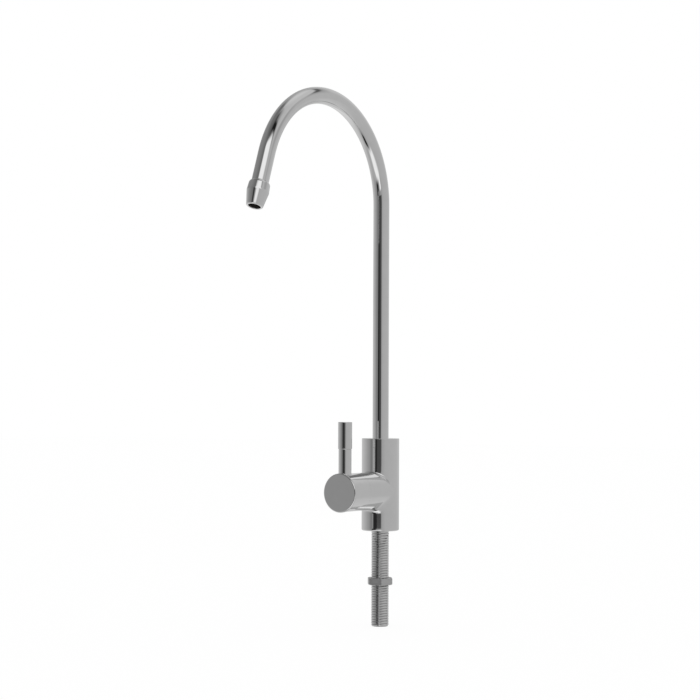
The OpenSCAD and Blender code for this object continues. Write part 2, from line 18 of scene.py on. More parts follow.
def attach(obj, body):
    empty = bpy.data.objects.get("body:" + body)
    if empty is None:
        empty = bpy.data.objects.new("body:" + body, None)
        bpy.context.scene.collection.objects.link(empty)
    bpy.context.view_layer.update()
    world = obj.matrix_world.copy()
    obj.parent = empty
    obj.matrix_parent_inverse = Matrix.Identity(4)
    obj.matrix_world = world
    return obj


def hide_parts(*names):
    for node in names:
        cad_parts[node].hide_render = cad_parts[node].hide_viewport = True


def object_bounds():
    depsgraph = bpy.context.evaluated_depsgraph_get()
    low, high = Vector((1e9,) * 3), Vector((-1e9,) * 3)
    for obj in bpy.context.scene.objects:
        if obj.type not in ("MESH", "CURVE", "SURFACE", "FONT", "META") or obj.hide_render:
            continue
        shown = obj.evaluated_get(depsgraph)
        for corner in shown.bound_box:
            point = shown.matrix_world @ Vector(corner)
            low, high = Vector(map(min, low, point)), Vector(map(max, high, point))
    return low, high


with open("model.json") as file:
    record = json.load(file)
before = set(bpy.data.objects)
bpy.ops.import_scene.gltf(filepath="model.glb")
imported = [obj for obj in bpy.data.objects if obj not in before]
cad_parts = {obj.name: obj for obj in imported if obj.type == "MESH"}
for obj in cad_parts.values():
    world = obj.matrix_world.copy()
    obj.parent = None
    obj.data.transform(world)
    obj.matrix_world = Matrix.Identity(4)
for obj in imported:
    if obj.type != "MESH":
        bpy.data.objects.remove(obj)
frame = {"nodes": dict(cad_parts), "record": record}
cad_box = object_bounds()
MM = 0.001
print("solids:", len(frame["nodes"]), "from", tuple(cad_box[0]), "to", tuple(cad_box[1]))

# %% [markdown]
# ## Camera
#
# The photograph was taken from the front right, a little above the worktop's level, with a long lens. The
# camera is stated as a place and three angles, and its matrix is built from the directions that it looks
# along, to its right and up. A Track To constraint would do nearly the same, but it can't hold the slight
# roll of the picture.

# %% Camera of the photograph
CAMERA_AT = Vector((632.93, -939.2, 83.54)) * MM
CAMERA_YAW = math.radians(34.973)
CAMERA_RISE = math.radians(1.574)
CAMERA_ROLL = math.radians(0.244)
CAMERA_LENS = 91.3
SENSOR = 36.0

ahead = Vector((
    -math.sin(CAMERA_YAW) * math.cos(CAMERA_RISE),
    math.cos(CAMERA_YAW) * math.cos(CAMERA_RISE),
    math.sin(CAMERA_RISE),
))
level_right = Vector((math.cos(CAMERA_YAW), math.sin(CAMERA_YAW), 0))
level_up = level_right.cross(ahead)
right = level_right * math.cos(CAMERA_ROLL) + level_up * math.sin(CAMERA_ROLL)
up = level_up * math.cos(CAMERA_ROLL) - level_right * math.sin(CAMERA_ROLL)

bpy.ops.object.select_all(action="DESELECT")
bpy.ops.object.camera_add()
camera = bpy.context.object
camera.name = "photo_camera"
camera.matrix_world = Matrix.Translation(CAMERA_AT) @ Matrix((right, up, -ahead)).transposed().to_4x4()
camera.data.sensor_width = SENSOR
camera.data.lens = CAMERA_LENS
camera.data.clip_start = 0.01
bpy.context.scene.camera = camera
bpy.context.scene.view_settings.view_transform = "Standard"
print("camera at", tuple(round(c, 3) for c in CAMERA_AT), "lens", CAMERA_LENS)

# %% [markdown]
# ## Shader sums in Python
#
# Node trees get long when each Math node is wired by hand. Here a small class wraps one output socket, and
# the Python operators add the Math nodes, so a finish reads like a formula. Every other node comes from
# `add`, which takes the node's type, its settings, and the values or wires of its inputs.


# %% The wire class
class Wire:
    """One output socket of a node tree."""

    def __init__(self, socket):
        self.socket = socket

    def add(self, kind, settings=None, inputs=None, output=0):
        tree = self.socket.id_data
        node = tree.nodes.new(kind)
        for key, value in (settings or {}).items():
            if key == "stops":
                fill_ramp(node.color_ramp, value)
            else:
                setattr(node, key, value)
        for key, value in (inputs or {}).items():
            if isinstance(value, Wire):
                tree.links.new(value.socket, node.inputs[key])
            else:
                node.inputs[key].default_value = value
        return Wire(node.outputs[output])

    def maths(self, operation, first, second):
        return self.add("ShaderNodeMath", {"operation": operation}, {0: first, 1: second})

    def __add__(self, other):
        return self.maths("ADD", self, other)

    def __radd__(self, other):
        return self.maths("ADD", other, self)

    def __sub__(self, other):
        return self.maths("SUBTRACT", self, other)

    def __rsub__(self, other):
        return self.maths("SUBTRACT", other, self)

    def __mul__(self, other):
        return self.maths("MULTIPLY", self, other)

    def __rmul__(self, other):
        return self.maths("MULTIPLY", other, self)

    def rise(self, low, high):
        """0 below low, 1 above high, with a soft step between them."""
        return self.add(
            "ShaderNodeMapRange",
            {"interpolation_type": "SMOOTHSTEP"},
            {"Value": self, "From Min": low, "From Max": high},
        )

    def between(self, low, high, soft):
        """1 from low to high, with soft edges of that width on each side."""
        return self.rise(low - soft, low + soft) * (1 - self.rise(high - soft, high + soft))

    def ramp(self, *stops):
        return self.add("ShaderNodeValToRGB", {"stops": stops}, {"Fac": self})

    def show(self, output):
        """Links a shader to the tree's output node."""
        tree = self.socket.id_data
        tree.links.new(self.socket, tree.nodes.new(output).inputs["Surface"])


def fill_ramp(ramp, stops):
    """Puts (place, grey or colour) stops into a colour ramp."""
    while len(ramp.elements) < len(stops):
        ramp.elements.new(0.5)
    for element, (place, colour) in zip(ramp.elements, stops):
        element.position = place
        element.color = (*colour, 1) if isinstance(colour, tuple) else (colour, colour, colour, 1)


print("operators on wires: + - *")

# %% [markdown]
# ## Studio
#
# Polished chrome has no colour of its own: all that is seen on it is the room. The room here is a pale
# studio with a white card on the table in front of the tap, a soft box above the camera, a dim wall on the
# left, a dark gap in which the camera stands, and a ceiling that is dark above the camera. Cards and lamps
# could stand round the tap, but they would show in other views, so the room is painted on the world by
# direction, in a few soft-edged fields. Only mirror rays see it. The camera sees white, and matt surfaces
# get plain even light.

# %% Directions in the studio
world = bpy.data.worlds.new("studio")
bpy.context.scene.world = world
world.use_nodes = True
world.cycles.sampling_method = "NONE"
world.node_tree.nodes.clear()

TO_CAMERA = math.radians(33.98)
looking = Wire(world.node_tree.nodes.new("ShaderNodeTexCoord").outputs["Generated"])


def along(direction):
    """How far a mirror ray points along a direction."""
    return looking.add(
        "ShaderNodeVectorMath", {"operation": "DOT_PRODUCT"}, {0: looking, 1: direction}, "Value"
    )


towards_camera = along((math.sin(TO_CAMERA), -math.cos(TO_CAMERA), 0))
camera_right = along((math.cos(TO_CAMERA), math.sin(TO_CAMERA), 0))
upward = along((0, 0, 1))
DEGREES = 180 / math.pi
aside = looking.maths("ARCTAN2", camera_right, towards_camera) * DEGREES
height = looking.maths("ARCSINE", upward, 0.0) * DEGREES
turn = (aside + 180) * (1 / 360)
print("studio directions: aside 0 is at the camera, height 0 is the horizon")


# %% Fields of the studio
def at(degrees):
    """A place on the turn ramps, from degrees right of the camera."""
    return degrees / 360 + 0.5


def field(light, mask, level):
    """Puts a level of light, a number or a wire, into the studio where the mask is 1."""
    return light + mask * (level - light)


wall = turn.ramp(
    (at(-180), 0.70), (at(-150), 0.61), (at(-125), 0.55), (at(-102), 0.46), (at(-84), 0.37),
    (at(-72), 0.33), (at(-69), 0.30), (at(-58), 0.21), (at(0), 0.36), (at(12), 0.41), (at(30), 0.47),
    (at(120), 0.51), (at(145), 0.62), (at(165), 0.62), (at(180), 0.70),
)
upper_wall = turn.ramp(
    (at(-180), 0.46), (at(-130), 0.27), (at(-90), 0.25), (at(-60), 0.20), (at(-35), 0.15),
    (at(0), 0.14), (at(40), 0.44), (at(62), 0.53), (at(110), 0.60), (at(150), 0.58), (at(180), 0.46),
)
ceiling = turn.ramp(
    (at(-180), 0.47), (at(-160), 0.34), (at(-140), 0.16), (at(-90), 0.18), (at(-60), 0.16),
    (at(-30), 0.11), (at(0), 0.06), (at(45), 0.36), (at(64), 0.52), (at(90), 0.60), (at(130), 0.68),
    (at(152), 0.64), (at(180), 0.52),
)
zenith = turn.ramp(
    (at(-180), 0.50), (at(-120), 0.36), (at(-20), 0.36), (at(60), 0.46), (at(115), 0.58),
    (at(160), 0.54),
)
table = turn.ramp(
    (at(-180), 0.79), (at(-130), 0.62), (at(-90), 0.45), (at(20), 0.46), (at(90), 0.50),
    (at(150), 0.62),
)
under_table = turn.ramp(
    (at(-180), 0.52), (at(-130), 0.50), (at(-60), 0.30), (at(0), 0.36), (at(50), 0.47),
    (at(110), 0.56),
)
WALL_SLOPE = 0.075
light = field(wall, (height - aside * WALL_SLOPE).rise(18, 29), upper_wall)
light = field(light, height.rise(51, 62), ceiling)
light = field(light, height.rise(78, 88), zenith)
light = field(light, 1 - height.rise(-25, -14), table)
light = field(light, 1 - height.rise(-82, -60), under_table)
print("studio walls, ceiling and table")

# %% [markdown]
# The soft box hangs aslant, so its edges aren't lines of equal height. A straight edge and the tap lie in
# one plane, and `above_edge` gives the angle above that plane. The box's upper edge is highest straight
# above the camera, the dark gap above the box is highest a little to the left of it, and the shade behind
# the tap is highest almost opposite the camera. The dark gap in which the camera stands lies further left
# below the horizon. Each field is a band of angles with soft edges, and later fields lie over earlier ones.

# %% Lamps, cards and dark places of the studio
BOX_TOP = math.radians(49)
BOX_ASIDE = math.radians(0)
GAP_TOP = math.radians(66)
GAP_ASIDE = math.radians(-20)
BACK_TOP = math.radians(53)
BACK_ASIDE = math.radians(170)


def above_edge(top, edge_aside):
    """Degrees above a straight edge in the studio, from its greatest height and where that lies."""
    bearing = TO_CAMERA + edge_aside
    leaning = along((
        -math.sin(top) * math.sin(bearing), math.sin(top) * math.cos(bearing), math.cos(top),
    ))
    return looking.maths("ARCSINE", leaning, 0.0) * DEGREES


box_lean = above_edge(BOX_TOP, BOX_ASIDE)
gap_lean = above_edge(GAP_TOP, GAP_ASIDE)
back_lean = above_edge(BACK_TOP, BACK_ASIDE)
soft_box = box_lean.between(-24, 1, 5) * aside.rise(-33, -14) * (1 - aside.rise(31, 46))
box_foot = aside.between(-13, 18, 5) * height.between(13, 27, 3)
box_gap = gap_lean.between(-5, 5, 3) * aside.between(-14, 46, 9)
CARD_SLOPE = 0.5
below_card_top = 1 - (height - aside * CARD_SLOPE).rise(-13, -1)
table_card = aside.between(-56, 8, 14) * height.between(-57, -23, 5) * below_card_top
card_tip = aside.between(-12, 6, 3) * height.between(-28, -10, 2)
table_edge = aside.between(-84, -20, 16) * height.between(-79, -62, 4)
back_shade = back_lean.between(-8, 0, 4) * aside.between(103, 172, 8)
back_gap = back_lean.between(-3, 2, 2) * aside.between(109, 147, 6)
side_shade = aside.between(70, 98, 8) * height.between(15, 31, 4)
low_back = aside.between(128, 172, 9) * height.between(-22, -1, 4)
LOW_GAP_SHIFT = 10
gap_aside = aside + LOW_GAP_SHIFT * (1 - height.rise(-5.2, -4.2))
camera_gap = gap_aside.between(-44, -17, 4) * height.between(-20, 10, 4)
gap_lining = aside.between(-20, 5.5, 4) * height.rise(-4.75, -4.3) * (1 - height.rise(6, 14))
gap_top = aside.between(-44, -24, 5) * height.between(5, 28, 5)
card_edge = gap_aside.between(-51, -46, 1.5) * height.between(-14, 12, 4)
PLACES = (
    (box_gap, 0.012), (soft_box, 1.0), (box_foot, 0.94), (table_card, 1.0), (card_tip, 1.0),
    (table_edge, 0.02), (side_shade, 0.38), (back_shade, 0.40), (back_gap, 0.11), (low_back, 0.53),
    (camera_gap, 0.022), (gap_lining, 0.07), (gap_top, 0.04), (card_edge, 0.30),
)
for place, level in PLACES:
    light = field(light, place, level)
print("studio:", len(PLACES), "lamps, cards and dark places")

# %% World output
PLAIN_LIGHT = 1.0
mirror_ray = looking.add("ShaderNodeLightPath", output="Is Glossy Ray")
seen = field(PLAIN_LIGHT, mirror_ray, light)
looking.add("ShaderNodeBackground", inputs={"Color": seen}).show("ShaderNodeOutputWorld")
print("world: studio for mirror rays, plain white for all others")

# %% [markdown]
# ## Floor
#
# The tap can't stand by itself, but the end of its shank rests on a pale floor here, so that other views
# have a ground. In the photograph the ground is pure white. The floor is therefore mostly a white glow for
# the camera, with a share of matt white that keeps a faint shadow. Mirror rays pass through it, because the
# studio already has its table.

# %% Floor
FLOOR_SIZE = 8.0
FLOOR_GLOW = 0.92
FLOOR_WHITE = (0.96, 0.96, 0.96, 1)

bpy.ops.object.select_all(action="DESELECT")
bpy.ops.mesh.primitive_plane_add(size=FLOOR_SIZE, location=(0, 0, cad_box[0].z))
floor = bpy.context.object
floor.name = "floor"
floor.visible_glossy = False
floor_paint = bpy.data.materials.new("pale_floor")
floor_paint.use_nodes = True
floor_paint.node_tree.nodes.clear()
grounds = Wire(floor_paint.node_tree.nodes.new("ShaderNodeLightPath").outputs["Is Camera Ray"])
matt = grounds.add("ShaderNodeBsdfDiffuse", inputs={"Color": FLOOR_WHITE})
glow = grounds.add("ShaderNodeEmission", inputs={"Color": (1, 1, 1, 1), "Strength": 1.0})
grounds.add("ShaderNodeMixShader", inputs={0: grounds * FLOOR_GLOW, 1: matt, 2: glow}).show(
    "ShaderNodeOutputMaterial"
)
floor.data.materials.append(floor_paint)
print("floor at", round(cad_box[0].z / MM, 1), "mm")

# %% [markdown]
# ## Finishes
#
# Each finish is one Principled shader with a little variation in it, because even new chrome isn't perfect:
# plating is a touch warmer or cooler from place to place, and polishing leaves faint haze and fine lines.
# Patterns read Object coordinates, which are metres in this scene, so the noise scales are high.


# %% A finish from its colours and roughness
# Painted shade in the thread's grooves: towards the root radius the plated colour is darkened to this grey,
# standing in for the shade inside the V of the thread.
GROOVE_PAINTED_SHADE = (0.32, 0.32, 0.32)
GROOVE_SHADE_RADII = (0.00518, 0.00542)
FINE_SHARE = 0.4
BROADER = 12
NOISE_SPAN = (0.3, 0.7)
BUMP_DEPTH = 0.0002


def finish(name, colours, roughness, metallic, grain, stretch=(1, 1, 1), bump=0.0, painted_groove_shade=None):
    """A material whose colour and roughness vary with a stretched noise of that grain per metre.

    The shade radii are two radii round Z, in metres: from the outer to the inner the metal goes from its
    own colour to dark, which paints shade into a thread's grooves.
    """
    material = bpy.data.materials.new(name)
    material.use_nodes = True
    material.node_tree.nodes.clear()
    place = Wire(material.node_tree.nodes.new("ShaderNodeTexCoord").outputs["Object"])
    lines = place.add("ShaderNodeMapping", inputs={"Vector": place, "Scale": stretch})
    fine = place.add("ShaderNodeTexNoise", inputs={"Vector": lines, "Scale": grain, "Detail": 4.0})
    broad = place.add(
        "ShaderNodeTexNoise", inputs={"Vector": place, "Scale": grain / BROADER, "Detail": 2.0}
    )
    tone = (fine * FINE_SHARE + broad * (1 - FINE_SHARE)).rise(*NOISE_SPAN)
    # Painted shade: nearer the axis than the outer radius, towards the thread's roots, the colour ramps
    # down to dark.
    if painted_groove_shade:
        flat = place.add("ShaderNodeVectorMath", {"operation": "MULTIPLY"}, {0: place, 1: (1, 1, 0)})
        radius = place.add("ShaderNodeVectorMath", {"operation": "LENGTH"}, {0: flat}, "Value")
        tone = radius.rise(*painted_groove_shade) * (0.5 + tone * 0.5)
        colour = tone.ramp((0, GROOVE_PAINTED_SHADE), (0.5, colours[0]), (1, colours[1]))
    else:
        colour = tone.ramp((0, colours[0]), (1, colours[1]))
    rough = roughness[0] + (roughness[1] - roughness[0]) * fine.rise(*NOISE_SPAN)
    settings = {"Base Color": colour, "Roughness": rough, "Metallic": metallic}
    if bump:
        settings["Normal"] = place.add(
            "ShaderNodeBump", inputs={"Height": fine, "Strength": bump, "Distance": BUMP_DEPTH}
        )
    place.add("ShaderNodeBsdfPrincipled", inputs=settings).show("ShaderNodeOutputMaterial")
    return material


chrome = finish("polished_chrome", ((0.78, 0.78, 0.78), (0.82, 0.82, 0.82)), (0.035, 0.045), 1.0, 220)
# The thread's plating has painted shade in its grooves, darker towards the roots.
painted_shade_thread_plate = finish(
    "plated_thread", ((0.70, 0.70, 0.70), (0.78, 0.78, 0.78)), (0.10, 0.18), 1.0, 900, (1, 1, 4), 0.05,
    painted_groove_shade=GROOVE_SHADE_RADII,
)
satin_plate = finish(
    "satin_plate", ((0.58, 0.58, 0.58), (0.66, 0.66, 0.66)), (0.4, 0.5), 1.0, 900, (1, 1, 4), 0.05
)
bore_skin = finish("unpolished_bore", ((0.03, 0.028, 0.026), (0.06, 0.055, 0.05)), (0.5, 0.7), 0.6, 600)
brass = finish(
    "turned_brass", ((0.72, 0.53, 0.24), (0.82, 0.63, 0.32)), (0.2, 0.32), 1.0, 700, (1, 6, 1), 0.06
)
ceramic = finish("lapped_ceramic", ((0.85, 0.83, 0.77), (0.91, 0.89, 0.84)), (0.12, 0.22), 0.0, 1500)
rubber = finish(
    "moulded_rubber", ((0.02, 0.02, 0.021), (0.045, 0.045, 0.047)), (0.5, 0.68), 0.0, 1800, bump=0.15
)
slip_plastic = finish(
    "slip_plastic", ((0.83, 0.83, 0.8), (0.9, 0.9, 0.87)), (0.3, 0.42), 0.0, 900, (1, 1, 5), 0.05
)
steel = finish(
    "stainless_steel", ((0.5, 0.51, 0.52), (0.6, 0.61, 0.62)), (0.22, 0.36), 1.0, 1100, (1, 5, 1), 0.06
)
FINISH_OF_SLOT = {
    "chrome": chrome, "plated_thread": painted_shade_thread_plate, "brass": brass, "ceramic": ceramic,
    "rubber": rubber, "slip_plastic": slip_plastic, "steel": steel,
}
print("finishes:", ", ".join(sorted(FINISH_OF_SLOT)))

# %% [markdown]
# ## Finishes on the pieces inside
#
# The seals, the ceramic cartridge and the spindle are inside the tap. Their solids already have the right
# shape, so they stay as they are and only get the finish of their material slot.

# %% Paint the solids
slot_of = {part["node"]: part["material_slot"] for part in frame["record"]["subparts"]}
body_of = {
    node: body for body, nodes in frame["record"]["behaviour"]["bodies"].items() for node in nodes
}
for node, solid in frame["nodes"].items():
    paint = FINISH_OF_SLOT[slot_of[node]]
    for slot in solid.material_slots:
        slot.material = paint
    if not solid.material_slots:
        solid.data.materials.append(paint)
print("painted", len(frame["nodes"]), "solids")

# %% [markdown]
# ## Turned pieces
#
# Most of the tap is turned on a lathe. A turned piece starts here as a circle, which is extruded from ring
# to ring and scaled to each ring's radius, as one would do by hand with E and S. Sharp rings are then
# rounded by the Bevel operator, because real edges catch a line of light. A Spin of a drawn outline gives
# the same shape, but the rings are easier to pick again for their bevels.

# %% Helpers for turned pieces
ROUND = 160
MERGE = 0.001 * MM
CUT_NEAR = 0.0001 * MM
PAST = 1.0
ON_RING = 0.002 * MM
SMOOTH_BELOW = math.radians(32)


def turned(name, rings, capped=False):
    """A piece round Z, left in edit mode. Rings are (radius, height) in millimetres."""
    bpy.ops.object.select_all(action="DESELECT")
    radius, height = rings[0]
    bpy.ops.mesh.primitive_circle_add(
        vertices=ROUND, radius=radius * MM, fill_type="NGON" if capped else "NOTHING",
    )
    piece = bpy.context.object
    piece.name = name
    bpy.ops.object.mode_set(mode="EDIT")
    bpy.ops.mesh.select_mode(type="EDGE")
    bpy.ops.mesh.select_all(action="SELECT")
    bpy.ops.transform.translate(value=(0, 0, height * MM))
    for (r0, z0), (r1, z1) in zip(rings, rings[1:]):
        bpy.ops.mesh.extrude_edges_move(TRANSFORM_OT_translate={"value": (0, 0, (z1 - z0) * MM)})
        bpy.ops.transform.resize(value=(r1 / r0, r1 / r0, 1), center_override=(0, 0, z1 * MM))
    if capped:
        bpy.ops.mesh.edge_face_add()
    bpy.ops.mesh.select_all(action="SELECT")
    bpy.ops.mesh.remove_doubles(threshold=MERGE)
    bpy.ops.mesh.normals_make_consistent(inside=False)
    return piece


def round_ring(radius, height, width, segments=4):
    """Rounds the edge ring of that radius and height, in millimetres, on the piece in edit mode."""
    piece = bpy.context.object
    bpy.ops.mesh.select_all(action="DESELECT")
    mesh = bmesh.from_edit_mesh(piece.data)
    for edge in mesh.edges:
        on_ring = [
            abs(v.co.z - height * MM) < ON_RING and abs(v.co.xy.length - radius * MM) < ON_RING
            for v in edge.verts
        ]
        edge.select_set(all(on_ring))
    bmesh.update_edit_mesh(piece.data)
    bpy.ops.mesh.bevel(offset=width * MM, segments=segments, profile=0.5, affect="EDGES")


def lay(piece, matrix):
    """Leaves edit mode, puts the piece in its place and moves that place into its mesh."""
    bpy.ops.object.mode_set(mode="OBJECT")
    piece.matrix_world = matrix
    bpy.ops.object.transform_apply(location=True, rotation=True, scale=True)


def finish_piece(piece, node, *paints):
    """Smooths a finished piece, gives it its finishes and lets it stand for its solid."""
    bpy.ops.object.shade_smooth_by_angle(angle=SMOOTH_BELOW)
    bpy.ops.object.modifier_add(type="WEIGHTED_NORMAL")
    piece.modifiers[-1].keep_sharp = True
    bpy.ops.object.modifier_apply(modifier=piece.modifiers[-1].name)
    for paint in paints or (FINISH_OF_SLOT[slot_of[node]],):
        piece.data.materials.append(paint)
    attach(piece, body_of[node])
    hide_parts(node)
    print(piece.name, len(piece.data.polygons), "faces")


UPRIGHT = Matrix.Identity(4)
print("turned pieces have", ROUND, "sides")

# %% [markdown]
# ## Spout
#
# The spout is a tube about 10 mm thick, bent round a former. A circle is extruded up for the riser, spun
# about the arch's centre, and extruded along the tail. That gives true straight runs and a true arc with no
# kink between them, which chrome would show at once. A curve with a round bevel would do too, but its
# handles only come near an arc. Solidify then adds the 1 mm wall, inwards.

# %% Sizes of the spout
TUBE_R = 5.1
TUBE_WALL = 1.0
TUBE_LOW = 41.0
BODY_H = 58.4
RISER_TOP = BODY_H + 148.3
ARCH_R = 61.8
ARCH_ANGLE = math.radians(160.7)
TAIL_L = 18.9
NOZZLE_SOCKET = 8.0
ARCH_STEPS = 180

flow = Vector((0, -math.sin(ARCH_ANGLE), math.cos(ARCH_ANGLE)))
arch_centre = Vector((0, -ARCH_R, RISER_TOP))
arch_end = arch_centre + ARCH_R * Vector((0, math.cos(ARCH_ANGLE), math.sin(ARCH_ANGLE)))
print("arch ends at", tuple(round(c, 1) for c in arch_end), "mm")

# %% Spout tube
bpy.ops.object.select_all(action="DESELECT")
bpy.ops.mesh.primitive_circle_add(vertices=ROUND, radius=TUBE_R * MM)
spout = bpy.context.object
spout.name = "spout"
bpy.ops.object.mode_set(mode="EDIT")
bpy.ops.mesh.select_mode(type="EDGE")
bpy.ops.mesh.select_all(action="SELECT")
bpy.ops.transform.translate(value=(0, 0, TUBE_LOW * MM))
bpy.ops.mesh.extrude_edges_move(TRANSFORM_OT_translate={"value": (0, 0, (RISER_TOP - TUBE_LOW) * MM)})
bpy.ops.mesh.spin(steps=ARCH_STEPS, angle=ARCH_ANGLE, center=arch_centre * MM, axis=(-1, 0, 0))
bpy.ops.mesh.extrude_edges_move(TRANSFORM_OT_translate={"value": flow * (TAIL_L + NOZZLE_SOCKET) * MM})
bpy.ops.mesh.select_all(action="SELECT")
bpy.ops.mesh.remove_doubles(threshold=MERGE)
bpy.ops.mesh.normals_make_consistent(inside=False)
lay(spout, UPRIGHT)
bpy.ops.object.modifier_add(type="SOLIDIFY")
wall_of_tube = spout.modifiers[-1]
wall_of_tube.thickness = TUBE_WALL * MM
wall_of_tube.offset = -1
wall_of_tube.material_offset = 1
bpy.ops.object.modifier_apply(modifier=wall_of_tube.name)
finish_piece(spout, "spout_tube", chrome, bore_skin)

# %% [markdown]
# ## Nozzle
#
# The tip is a small turned sleeve on the tube's end. It has a bevelled upper edge, widens a little to a
# shoulder, then tapers to a rounded rim around the mouth. The shoulder and the rim are rounded by bevels,
# so that the light runs over them without a break.

# %% Nozzle
NOZZLE_L = 15.6
NOZZLE_TOP_R = 6.3
NOZZLE_R = 6.65
NOZZLE_SHOULDER = 6.2
NOZZLE_TIP_R = 4.95
NOZZLE_BEVEL = 1.0
NOZZLE_TOP_ROUND = 0.7
SHOULDER_ROUND = 0.5
TIP_ROUND = 0.7
MOUTH_R = 3.65
MOUTH_ROUND = 0.4
MOUTH_NEAR = 0.02
SLIDE_FIT = 0.05

socket_r = TUBE_R + SLIDE_FIT
nozzle = turned("nozzle", [
    (socket_r, 0), (NOZZLE_TOP_R - NOZZLE_BEVEL, 0), (NOZZLE_TOP_R, NOZZLE_BEVEL),
    (NOZZLE_R, NOZZLE_SHOULDER), (NOZZLE_TIP_R, NOZZLE_L), (MOUTH_R, NOZZLE_L),
    (MOUTH_R, NOZZLE_SOCKET), (socket_r, NOZZLE_SOCKET), (socket_r, 0),
])
round_ring(NOZZLE_TOP_R, NOZZLE_BEVEL, NOZZLE_TOP_ROUND, 6)
round_ring(NOZZLE_R, NOZZLE_SHOULDER, SHOULDER_ROUND)
round_ring(NOZZLE_TIP_R, NOZZLE_L, TIP_ROUND, 6)
round_ring(MOUTH_R, NOZZLE_L, MOUTH_ROUND, 5)
tail_frame = Matrix((Vector((1, 0, 0)), flow.cross(Vector((1, 0, 0))), flow)).transposed().to_4x4()
lay(nozzle, Matrix.Translation((arch_end + flow * TAIL_L) * MM) @ tail_frame)
inner_faces = [
    face for face in nozzle.data.polygons
    if ((face.center / MM - arch_end).cross(flow)).length < MOUTH_R + MOUTH_NEAR
]
for face in inner_faces:
    face.material_index = 1
finish_piece(nozzle, "outlet_nozzle", chrome, bore_skin)

# %% [markdown]
# ## Valve body
#
# The body is an upright cylinder with a side arm of nearly the same width. Where they meet, the corner is
# rounded, and at the sides the two surfaces run into each other. A Boolean of two cylinders and a bevel
# can't follow that: the corner fades from a right angle to almost nothing. So the rounding is worked out as
# a ball that rolls along the corner and touches both cylinders. The ball is smallest on top of the arm,
# larger below it, and grows towards both sides. Its centre is known for each turn about the arm, and the
# mesh runs in loops from the arm, over the rounding, onto the body. This piece is built in mesh code,
# because each loop has its own formula.

# %% Sizes of the body
BODY_R = 11.9
ARM_Z = 25.4
ARM_R = 11.8
ARM_END = 27.9
CORNER = 0.6
CORNER_BELOW = 1.8
CORNER_ASIDE = 3.0
CORNER_ASIDE_BELOW = 10.5
BASE_ROUND = 1.0
TOP_ROUND = 0.25
SEAM_ROUND = 0.02
SIDE_STEPS = 64
CORNER_STEPS = 10
FIELD_STEPS = 5
FIELD_HALF = 16.0

side = [2 * i / SIDE_STEPS - 1 for i in range(SIDE_STEPS)]
square = (
    [(p, 1) for p in side] + [(1, -p) for p in side] + [(-p, -1) for p in side] + [(-1, p) for p in side]
)
turns = [math.atan2(p, q) for p, q in square]
print("loops round the arm have", len(turns), "points")


# %% Loops of the body
def on_body(angle, z, radius=BODY_R):
    """A point on the upright cylinder, at an angle from the arm's direction."""
    return Vector((radius * math.sin(angle), -radius * math.cos(angle), z)) * MM


def on_arm(angle, out, radius=ARM_R):
    """A point on the arm, at a turn from its top and a distance from the body's axis."""
    return Vector((radius * math.sin(angle), -out, ARM_Z + radius * math.cos(angle))) * MM


def ball_radius(angle):
    """The radius of the rolling ball: least on top of the arm, more below it, most near its sides."""
    below = (1 - math.cos(angle)) / 2
    wider = CORNER_ASIDE + (CORNER_ASIDE_BELOW - CORNER_ASIDE) * below
    return CORNER + (CORNER_BELOW - CORNER) * below + wider * math.sin(angle)**2


def corner_point(angle, share):
    """A point on the rounded corner, from the arm at share 0 to the body at share 1."""
    ball = ball_radius(angle)
    across = (ARM_R + ball) * math.sin(angle)
    rise = (ARM_R + ball) * math.cos(angle)
    out = math.sqrt((BODY_R + ball)**2 - across**2)
    centre = Vector((across, -out, ARM_Z + rise))
    to_arm = Vector((-across, 0, -rise)) / (ARM_R + ball)
    to_body = Vector((-across, out, 0)) / (BODY_R + ball)
    return (centre + ball * to_arm.slerp(to_body, share)) * MM


def field_point(angle, square_point, share):
    """A point on the body's skin, from the corner's edge at share 0 to a square field at share 1."""
    ball = ball_radius(angle)
    across = (ARM_R + ball) * math.sin(angle)
    near = (math.asin(across / (BODY_R + ball)), (ARM_R + ball) * math.cos(angle))
    far = (square_point[0] * math.pi / 2, square_point[1] * FIELD_HALF)
    turn_angle = near[0] + (far[0] - near[0]) * share
    return on_body(turn_angle, ARM_Z + near[1] + (far[1] - near[1]) * share)


def rounding(radius, height, size, steps, towards):
    """Points of a quarter round from a wall of that radius to a flat at that height."""
    return [
        (
            radius - size + size * math.cos(math.pi / 2 * i / steps),
            height - towards * size + towards * size * math.sin(math.pi / 2 * i / steps),
        )
        for i in range(steps + 1)
    ]


def skin(mesh, first, second):
    """Quads between two closed loops."""
    for i, corner in enumerate(first):
        following = (i + 1) % len(first)
        mesh.faces.new((corner, first[following], second[following], second[i]))


def follow(mesh, loop, rings, place):
    """Skins a loop onwards over rings of (radius, distance) and closes the last one."""
    for ring in rings:
        next_loop = [mesh.verts.new(place(i, ring)) for i in range(len(loop))]
        skin(mesh, loop, next_loop)
        loop = next_loop
    mesh.faces.new(loop)


print("the corner is rounded by", CORNER, "mm on top and", CORNER_BELOW, "mm below")

# %% Bores of the body
SHANK_R = 5.55
SHANK_BORE_TOP = 11.0
SHANK_PLENUM = (3.95, 13.0)
GROOVE = (7.825, 9.625, 1.7)
SPOUT_SOCKET_R = 7.55
SPOUT_LEDGE = 38.9
SPOUT_PLENUM = (6.05, 36.9)
GLAND_BORE_R = 9.8
HOUSING_BORE_R = 9.0
CHAMBER_R = 5.75
CHAMBER_FLOOR = -8.3
SEAT = -1.8
FLANGE_AT = 17.1

